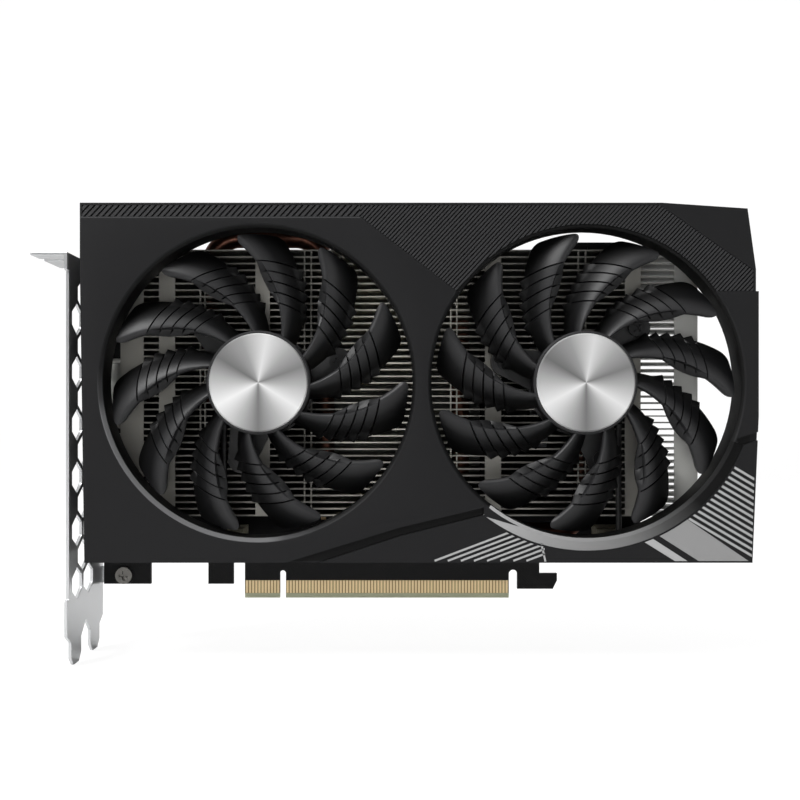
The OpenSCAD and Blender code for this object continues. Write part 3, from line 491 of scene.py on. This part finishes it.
def share(value, low, high):
    return min(1.0, max(0.0, (value - low) / (high - low)))


def smooth_share(value, low, high):
    t = share(value, low, high)
    return t * t * (3 - 2 * t)


# %% The blade's outline and surface
def leading_angle(r):
    t = (r - HUB_R) / (TIP_R - HUB_R)
    return 65.2 + 36 * (1.05 * t - 0.05 * t * t)


def chord_mm(r):
    return 4.6 + 10.2 * (r - HUB_R) / (TIP_R - HUB_R)


def corner_mm(r, radius):
    past = share(r, TIP_R - radius, TIP_R)
    return radius * (1 - math.sqrt(1 - past * past))


def blade_point(r, g):
    full = chord_mm(r)
    start, end = corner_mm(r, 3.6) / full, 1 - corner_mm(r, 1.8) / full
    across = start + g * (end - start)
    ridge = share(r, RIDGE_START, RIDGE_END) * RIDGES
    step = ridge % 1 if 0 < ridge < RIDGES else 0
    groove = max(0, 1 - abs(r - GROOVES[round(ridge) - 1]) / GROOVE_W) if ridge > 0.5 else 0
    nose = LEDGE * max(0, 1 - ((r - LEDGE_MID) / LEDGE_REACH) ** 2)
    chord = full + TOOTH * step * smooth_share(across, 0.84, 1)
    lead = nose * (1 - share(across, 0, 0.09))
    angle = math.radians(leading_angle(r)) - (across * chord - lead) / r
    crest = CREST * math.sqrt(share(across, 0, 0.14))
    fall = (BLADE_FRONT - BLADE_BACK - 1.0) * share(across, 0.04, 1.0) ** 1.7
    cut = GROOVE_DEPTH * groove * smooth_share(across, 0.02, 0.08) * (1 - smooth_share(across, 0.86, 0.98))
    raised = RIDGE_HEIGHT * step * smooth_share(across, 0.0, 0.1) - cut
    sunk = nose * (1 - smooth_share(across, 0.085, 0.12))
    sweep_back = TIP_SWEEP * share(r, 34, TIP_R) ** 2
    depth = BLADE_FRONT - 1.3 - fall + crest + raised - sunk - sweep_back
    return Vector((r * math.cos(angle), -depth, r * math.sin(angle)))


# %% One blade, and the eleven of a fan
def blade_radii():
    plain_part = [ROOT_R + (RIDGE_START - ROOT_R) * k / 8 for k in range(8)]
    ridges = [RIDGE_START, RIDGE_START + RIDGE_PITCH / 2]
    for groove in GROOVES:
        ridges += [groove - GROOVE_W, groove, groove + GROOVE_W, groove + RIDGE_PITCH / 2]
    start = ridges.pop()
    tip = [start + (TIP_R - start) * math.sin(math.pi / 2 * k / 12) for k in range(13)]
    return plain_part + ridges + tip


def add_blade(mesh, turn):
    radii = blade_radii()
    across = 25
    made = bmesh.ops.create_grid(
        mesh, x_segments=len(radii) - 1, y_segments=across - 1, size=1, matrix=Matrix(), calc_uvs=False
    )
    for vert in made["verts"]:
        row = round((vert.co.x + 1) / 2 * (len(radii) - 1))
        vert.co = turn @ blade_point(radii[row], (1 - vert.co.y) / 2)
    faces = list({face for vert in made["verts"] for face in vert.link_faces})
    made = bmesh.ops.extrude_face_region(mesh, geom=faces)
    moved = [vert for vert in made["geom"] if isinstance(vert, bmesh.types.BMVert)]
    bmesh.ops.translate(mesh, vec=(0, BLADE_T, 0), verts=moved)


def axis_mm(side):
    return Vector((fan_mid[side].x, 0, fan_mid[side].z)) / MM


def fan_matrix(side):
    mirror = Matrix.Identity(4)
    if side == "right":
        mirror = Matrix.Scale(-1, 4, (1, 0, 0)) @ Matrix.Rotation(RIGHT_FAN_TURN, 4, "Y")
    return Matrix.Translation(axis_mm(side)) @ mirror


def fan_rotor(side):
    mesh = bmesh.new()
    for k in range(BLADES):
        add_blade(mesh, Matrix.Rotation(-2 * math.pi * k / BLADES, 3, "Y"))
    bmesh.ops.transform(mesh, matrix=fan_matrix(side), verts=mesh.verts)
    make_piece(side + "_fan_blades", mesh, finishes["blade_black"], side + "_fan")


for side in ("left", "right"):
    fan_rotor(side)

# %% [markdown]
# ## The hub under the blades
# The hub is a moulded cup. Its outline is drawn once as a few points from the axis outwards and
# spun round the axis, which is how any turned or moulded round part is quickest to make.

# %% Spinning an outline about a fan's axis
def spun(outline, side, steps=96, angle=2 * math.pi, start=0.0):
    mesh = bmesh.new()
    verts = [mesh.verts.new((r, -depth, 0)) for r, depth in outline]
    edges = [mesh.edges.new(pair) for pair in zip(verts, verts[1:])]
    if start:
        bmesh.ops.rotate(mesh, cent=(0, 0, 0), matrix=Matrix.Rotation(-start, 3, "Y"), verts=verts)
    full = math.isclose(angle, 2 * math.pi)
    bmesh.ops.spin(
        mesh, geom=verts + edges, cent=(0, 0, 0), axis=(0, -1, 0), angle=angle, steps=steps,
        use_merge=full, use_duplicate=False,
    )
    bmesh.ops.remove_doubles(mesh, verts=mesh.verts, dist=1e-4)
    bmesh.ops.translate(mesh, vec=axis_mm(side), verts=mesh.verts)
    return mesh


# %% The hub cup and its boss
def hub_cup(side):
    outline = [
        (1.5, 34.5), (3.4, 34.5), (3.4, 35.0), (13.8, 35.0), (13.8, 28.4), (15.0, 28.4),
        (15.0, 35.8), (14.6, 36.2), (1.5, 36.2), (1.5, 34.5),
    ]
    mesh = spun(outline, side)
    piece = make_piece(side + "_fan_hub", mesh, finishes["blade_black"], side + "_fan")
    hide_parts(side + "_fan_rotor")


for side in ("left", "right"):
    hub_cup(side)

# %% [markdown]
# ## The discs on the hubs
# Each hub carries a thin aluminium disc, turned on a lathe so that its face has countless fine
# rings, with a bright bevel round the rim. The rings are drawn in the surface's height, and the
# fans of light and shade that turned metal shows are painted reflections: a change of tone in the base colour
# round the axis.

# %% Turned aluminium
# painted reflections: tones of the disc's base colour, by share of a turn round the axis
PAINTED_SHEEN_TONES = {  # share of a turn, counted from the left through the bottom: tone
    0.0: 178, 0.08: 226, 0.165: 176, 0.25: 112, 0.33: 168, 0.41: 222,
    0.49: 170, 0.555: 120, 0.63: 160, 0.72: 212, 0.81: 150, 0.91: 106, 1.0: 178,
}


def turned_finish_with_painted_sheen(side):
    sheet = Sheet("turned_aluminium_painted_sheen_" + side, paint(196, 196, 196), 0.34, 0.45)
    x, _, z = sheet.parts(sheet.place())
    dx, dz = x - fan_mid[side].x, z - fan_mid[side].z
    radius = (dx * dx + dz * dz).math("SQRT")
    around = dz.math("ARCTAN2", dx) / (2 * math.pi) + 0.5
    stops = [(turn, paint(tone, tone, tone)) for turn, tone in PAINTED_SHEEN_TONES.items()]
    sheet.set({"Base Color": sheet.ramp(around, stops)})
    rings = sheet.add("ShaderNodeCombineXYZ", {}, {0: radius})
    grooves = sheet.noise(0.1, 3, rings)
    sheet.set({"Roughness": 0.3 + grooves * 0.12})
    sheet.bump(grooves, 0.004)
    return sheet.material


# %% The discs
def hub_disc(side):
    outline = [(0.0, 36.2), (14.2, 36.2), (14.2, 36.35), (13.85, 36.7), (0.0, 36.7)]
    mesh = spun(outline, side, steps=128)
    piece = make_piece(side + "_hub_disc", mesh, turned_finish_with_painted_sheen(side), side + "_fan")
    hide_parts(side + "_fan_cap")


for side in ("left", "right"):
    hub_disc(side)

# %% [markdown]
# ## The ribbed band
# A band of slanted ribs runs along the shroud's top edge and fills the panel over the right fan.
# Each rib is a long thin bar laid across the band, and then cut where it meets the band's edges
# and the round opening. Cutting with a plane keeps each rib a clean little solid.

# %% The band's outline
LEFT = shroud_low.x / MM + 0.7
RIGHT = shroud_high.x / MM - 1.5
strip_outline = [
    (LEFT, BAND_LOW), (BAND_CORNER, BAND_LOW), (BAND_CORNER, BAND_TOP), (LEFT, BAND_TOP),
]
panel_outline = [
    (BAND_CORNER, BAND_LOW), (53.6, 93.9), (RIGHT, 93.9), (RIGHT, 99.8), (111.8, BAND_TOP),
    (BAND_CORNER, BAND_TOP),
]
RIB_SLOPE = math.radians(47)
right_mid = Vector((fan_mid["right"].x, fan_mid["right"].z)) / MM
print("band from", round(LEFT, 1), "to", round(RIGHT, 1), "mm")


def inward_planes(outline):
    planes = []
    for a, b in zip(outline, outline[1:] + outline[:1]):
        along = Vector((b[0] - a[0], b[1] - a[1]))
        planes.append((Vector(a), Vector((-along.y, along.x)).normalized()))
    return planes


# %% Where a line crosses an outline and a circle
def span_in(point, way, planes):
    low, high = (-1e6, None), (1e6, None)
    for base, inward in planes:
        rate = way.dot(inward)
        if abs(rate) < 1e-9:
            continue
        t = (base - point).dot(inward) / rate
        if rate > 0 and t > low[0]:
            low = (t, (base, inward))
        if rate < 0 and t < high[0]:
            high = (t, (base, inward))
    return low, high


def spans_outside_circle(point, way, low, high, centre, radius):
    offset = point - centre
    half = offset.dot(way)
    inside = half * half - (offset.length_squared - radius * radius)
    if inside <= 0:
        return [(low, high)]
    cuts = []
    for t in (-half - math.sqrt(inside), -half + math.sqrt(inside)):
        outward = (offset + way * t).normalized()
        cuts.append((t, (centre + outward * radius, outward)))
    enter, leave = cuts
    return [(low, min(high, enter, key=lambda c: c[0])), (max(low, leave, key=lambda c: c[0]), high)]


# %% Laying bars along lines and cutting their ends
def add_bar(mesh, point, way, low, high, width, back, forward):
    length = high[0] - low[0] + 2 * width
    centre = point + way * ((low[0] + high[0]) / 2)
    place = Matrix.Translation((centre.x, -(back + forward) / 2, centre.y))
    turn = Matrix.Rotation(-math.atan2(way.y, way.x), 4, "Y")
    size = Matrix.Diagonal((length, forward - back, width, 1))
    made = bmesh.ops.create_cube(mesh, size=1, matrix=place @ turn @ size)
    for cut in (low[1], high[1]):
        base, inward = cut
        verts = [v for v in made["verts"] if v.is_valid]
        geom = set(verts)
        for vert in verts:
            geom.update(vert.link_edges)
            geom.update(vert.link_faces)
        done = bmesh.ops.bisect_plane(
            mesh, geom=list(geom), dist=1e-5, plane_co=(base.x, 0, base.y),
            plane_no=(inward.x, 0, inward.y), clear_inner=True,
        )
        rim = [e for e in done["geom_cut"] if isinstance(e, bmesh.types.BMEdge)]
        if rim:
            bmesh.ops.holes_fill(mesh, edges=rim, sides=0)
        made = {"verts": [v for v in done["geom"] if isinstance(v, bmesh.types.BMVert) and v.is_valid]}
        linked = {w for v in made["verts"] for e in v.link_edges for w in e.verts}
        made["verts"] = list(linked | set(made["verts"]))


def hatch(mesh, outline, first, slope, step, count, width, back, forward, circle=None):
    planes = inward_planes(outline)
    way = Vector((math.cos(slope), math.sin(slope)))
    made = 0
    for k in range(count):
        point = Vector(first) + Vector(step) * k
        low, high = span_in(point, way, planes)
        if high[0] - low[0] < 0.3:
            continue
        spans = [(low, high)]
        if circle:
            spans = spans_outside_circle(point, way, low, high, *circle)
        for start, end in spans:
            if end[0] - start[0] > 0.3:
                add_bar(mesh, point, way, start, end, width, back, forward)
                made += 1
    return made


# %% The ribs
def ribs():
    mesh = bmesh.new()
    first = (LEFT - 30, BAND_LOW)
    for outline, pitch, width in ((strip_outline, 1.75, 0.8), (panel_outline, 1.25, 0.56)):
        count = int((RIGHT + 25 - first[0]) / pitch)
        made = hatch(
            mesh, outline, first, RIB_SLOPE, (pitch, 0), count, width, FRONT - 0.6, FRONT - 0.05,
            (right_mid, opening_r / MM + 0.9),
        )
        print(made, "ribs")
    make_piece("shroud_ribs", mesh, rib_finish, "card")


ribs()

# %% [markdown]
# ## The crescent and the grey bars
# A thin grey ring hugs the lower half of the right opening, and groups of slanted grey bars fill the
# panel below it. The ring's fade, pale at its left end and black towards its right end, is a painted
# reflection. The bars and the two flashes are thin inlays, a quarter of a millimetre deep, that end just short of
# the shroud's front.

# %% The crescent's fading grey
def crescent_finish_with_painted_fade():
    sheet = Sheet("crescent_grey_painted_fade", paint(110, 110, 110), 0.5, specular=0.08)
    x, _, z = sheet.parts(sheet.place())
    dx, dz = x - fan_mid["right"].x, fan_mid["right"].z - z
    around = dz.math("ARCTAN2", dx) / math.pi
    # painted reflection: the grey is pale at the ring's left end and fades to black towards its right end
    stops = [
        (0.12, paint(8, 8, 8)), (0.26, paint(16, 16, 16)), (0.34, paint(66, 66, 66)),
        (0.42, paint(104, 104, 104)), (0.6, paint(132, 132, 132)), (0.72, paint(152, 152, 152)),
    ]
    sheet.set({"Base Color": sheet.ramp(around, stops)})
    return sheet.material


# %% The crescent
def crescent():
    inner, outer = opening_r / MM + 0.12, 48.1
    outline = [(inner, FRONT - 1.2), (outer, FRONT - 0.3), (outer, FRONT - 0.02),
               (inner + 0.9, FRONT - 0.02), (inner, FRONT - 0.9)]
    start, end = math.radians(-128), math.radians(-22)
    mesh = spun(outline + outline[:1], "right", 90, end - start, start)
    rims = [e for e in mesh.edges if e.is_boundary]
    if rims:
        bmesh.ops.holes_fill(mesh, edges=rims, sides=0)
    make_piece("crescent", mesh, crescent_finish_with_painted_fade(), "card")


crescent()

# %% The slanted bars
INLAY_BACK, INLAY_FRONT = FRONT - 0.25, FRONT - 0.02


def bars():
    right = right_mid
    low = shroud_low.z / MM
    ring = (right, 48.7)
    mesh = bmesh.new()
    left_panel = [(40, low + 0.3), (79, low + 0.3), (77.4, 40), (40, 40)]
    hatch(mesh, left_panel, (47.4, low + 0.6), math.radians(20.8), (3.75, 0), 8, 0.57,
          INLAY_BACK, INLAY_FRONT, ring)
    edge = shroud_high.x / MM - 1.8
    right_panel = [(right.x, low + 0.5), (edge - 0.2, low + 0.5), (edge + 0.8, 50), (right.x, 60)]
    first = (right.x + 47, 40.5)
    hatch(mesh, right_panel, first, math.radians(-30.6), (0, -1.86), 13, 0.66,
          INLAY_BACK, INLAY_FRONT, ring)
    border = [(right.x - 13.4, 21.7), (right.x - 12.2, low + 0.3), (right.x - 11.6, low + 0.3),
              (right.x - 12.8, 21.7)]
    hatch(mesh, border, (right.x - 11.85, low), math.radians(102.8), (1, 0), 1, 0.55,
          INLAY_BACK, INLAY_FRONT)
    make_piece("slanted_bars", mesh, bar_finish, "card")


bars()


# %% The two solid flashes
def flash(name, corners, material):
    mesh = bmesh.new()
    verts = [mesh.verts.new((x, -INLAY_BACK, z)) for x, z in corners]
    face = mesh.faces.new(verts)
    made = bmesh.ops.extrude_face_region(mesh, geom=[face])
    moved = [v for v in made["geom"] if isinstance(v, bmesh.types.BMVert)]
    bmesh.ops.translate(mesh, vec=(0, INLAY_BACK - INLAY_FRONT, 0), verts=moved)
    make_piece(name, mesh, material, "card")


right_x = right_mid.x
low_z = shroud_low.z / MM + 0.5
flash("wide_flash", [(right_x + 20.6, 23.8), (right_x + 28.7, 28.5), (right_x + 46.2, low_z),
                     (right_x + 31.9, low_z)], pale_bar_finish)
flash("narrow_flash", [(right_x + 16.1, 22.2), (right_x + 18.6, 23.1), (right_x + 28.7, low_z),
                       (right_x + 25.1, low_z)], bar_finish)

# %% [markdown]
# ## Floor, light and camera
# A pale floor curves up behind the card, so no horizon shows. Big soft panels light the dark
# plastic from above and from both sides, because black surfaces are seen mostly by what they
# reflect. The camera stands in front, level with the middle of the card.

# %% The floor's white
def floor_finish():
    sheet = Sheet("floor_white", (0.8, 0.8, 0.8), 0.9, specular=0.1)
    glow = sheet.tree.nodes.new("ShaderNodeEmission")
    seen = sheet.add("ShaderNodeLightPath", {}, {}, "Is Camera Ray")
    mix = sheet.tree.nodes.new("ShaderNodeMixShader")
    sheet.feed(mix.inputs[0], seen * 0.8)
    sheet.tree.links.new(sheet.shader.outputs[0], mix.inputs[1])
    sheet.tree.links.new(glow.outputs[0], mix.inputs[2])
    sheet.tree.links.new(mix.outputs[0], sheet.tree.nodes["Material Output"].inputs[0])
    glow.inputs["Strength"].default_value = 1.15
    return sheet.material


# %% The floor and backdrop
def backdrop():
    mesh = bmesh.new()
    floor_z = cad_box[0].z - 0.0005
    curve = 0.35
    rise = [(-3.0, floor_z), (1.0, floor_z)]
    rise += [(1.0 + curve * math.sin(a), floor_z + curve * (1 - math.cos(a)))
             for a in (math.pi / 2 * k / 12 for k in range(1, 13))]
    rise.append((1.0 + curve, 3.0))
    verts = [mesh.verts.new((-4, y, z)) for y, z in rise]
    edges = [mesh.edges.new(pair) for pair in zip(verts, verts[1:])]
    made = bmesh.ops.extrude_edge_only(mesh, edges=edges)
    far = [v for v in made["geom"] if isinstance(v, bmesh.types.BMVert)]
    bmesh.ops.translate(mesh, vec=(8, 0, 0), verts=far)
    for face in mesh.faces:
        face.smooth = True
    data = bpy.data.meshes.new("floor")
    mesh.to_mesh(data)
    mesh.free()
    data.materials.append(floor_finish())
    floor = bpy.data.objects.new("floor", data)
    bpy.context.scene.collection.objects.link(floor)


backdrop()


# %% Soft lights
def soft_light(name, place, target, size, power):
    data = bpy.data.lights.new(name, "AREA")
    data.shape = "RECTANGLE"
    data.size, data.size_y = size
    data.energy = power
    light = bpy.data.objects.new(name, data)
    light.location = place
    light.rotation_euler = (Vector(target) - Vector(place)).to_track_quat("-Z", "Y").to_euler()
    bpy.context.scene.collection.objects.link(light)


centre = (cad_box[0] + cad_box[1]) / 2
soft_light("key", (-0.5, -0.62, 0.8), centre, (0.5, 0.5), 16)
soft_light("fill", (0.8, -0.7, 0.2), centre, (0.5, 0.8), 2.5)
soft_light("top", (-0.1, -0.1, 0.9), centre, (0.9, 0.5), 4)
world = bpy.data.worlds.new("studio")
world.use_nodes = True
sky = world.node_tree.nodes["Background"].inputs
sky["Color"].default_value = (1, 1, 1, 1)
seen = world.node_tree.nodes.new("ShaderNodeLightPath").outputs["Is Camera Ray"]
strength = world.node_tree.nodes.new("ShaderNodeMapRange")
strength.inputs["To Min"].default_value = 0.16
world.node_tree.links.new(seen, strength.inputs["Value"])
world.node_tree.links.new(strength.outputs[0], sky["Strength"])
bpy.context.scene.world = world
bpy.context.scene.view_settings.view_transform = "Standard"
print("three soft lights and a white world")

# %% The camera
camera_data = bpy.data.cameras.new("camera")
camera_data.lens = 50
camera_data.sensor_width = 36
camera_data.shift_x = 0.00125
camera_data.shift_y = 0.0219
camera_data.dof.use_dof = False
camera = bpy.data.objects.new("camera", camera_data)
camera.location = (0.0371, -0.35595, 0.05765)
camera.rotation_euler = (math.pi / 2, 0, 0)
bpy.context.scene.collection.objects.link(camera)
bpy.context.scene.camera = camera
print("camera at", [round(c / MM, 1) for c in camera.location], "mm")
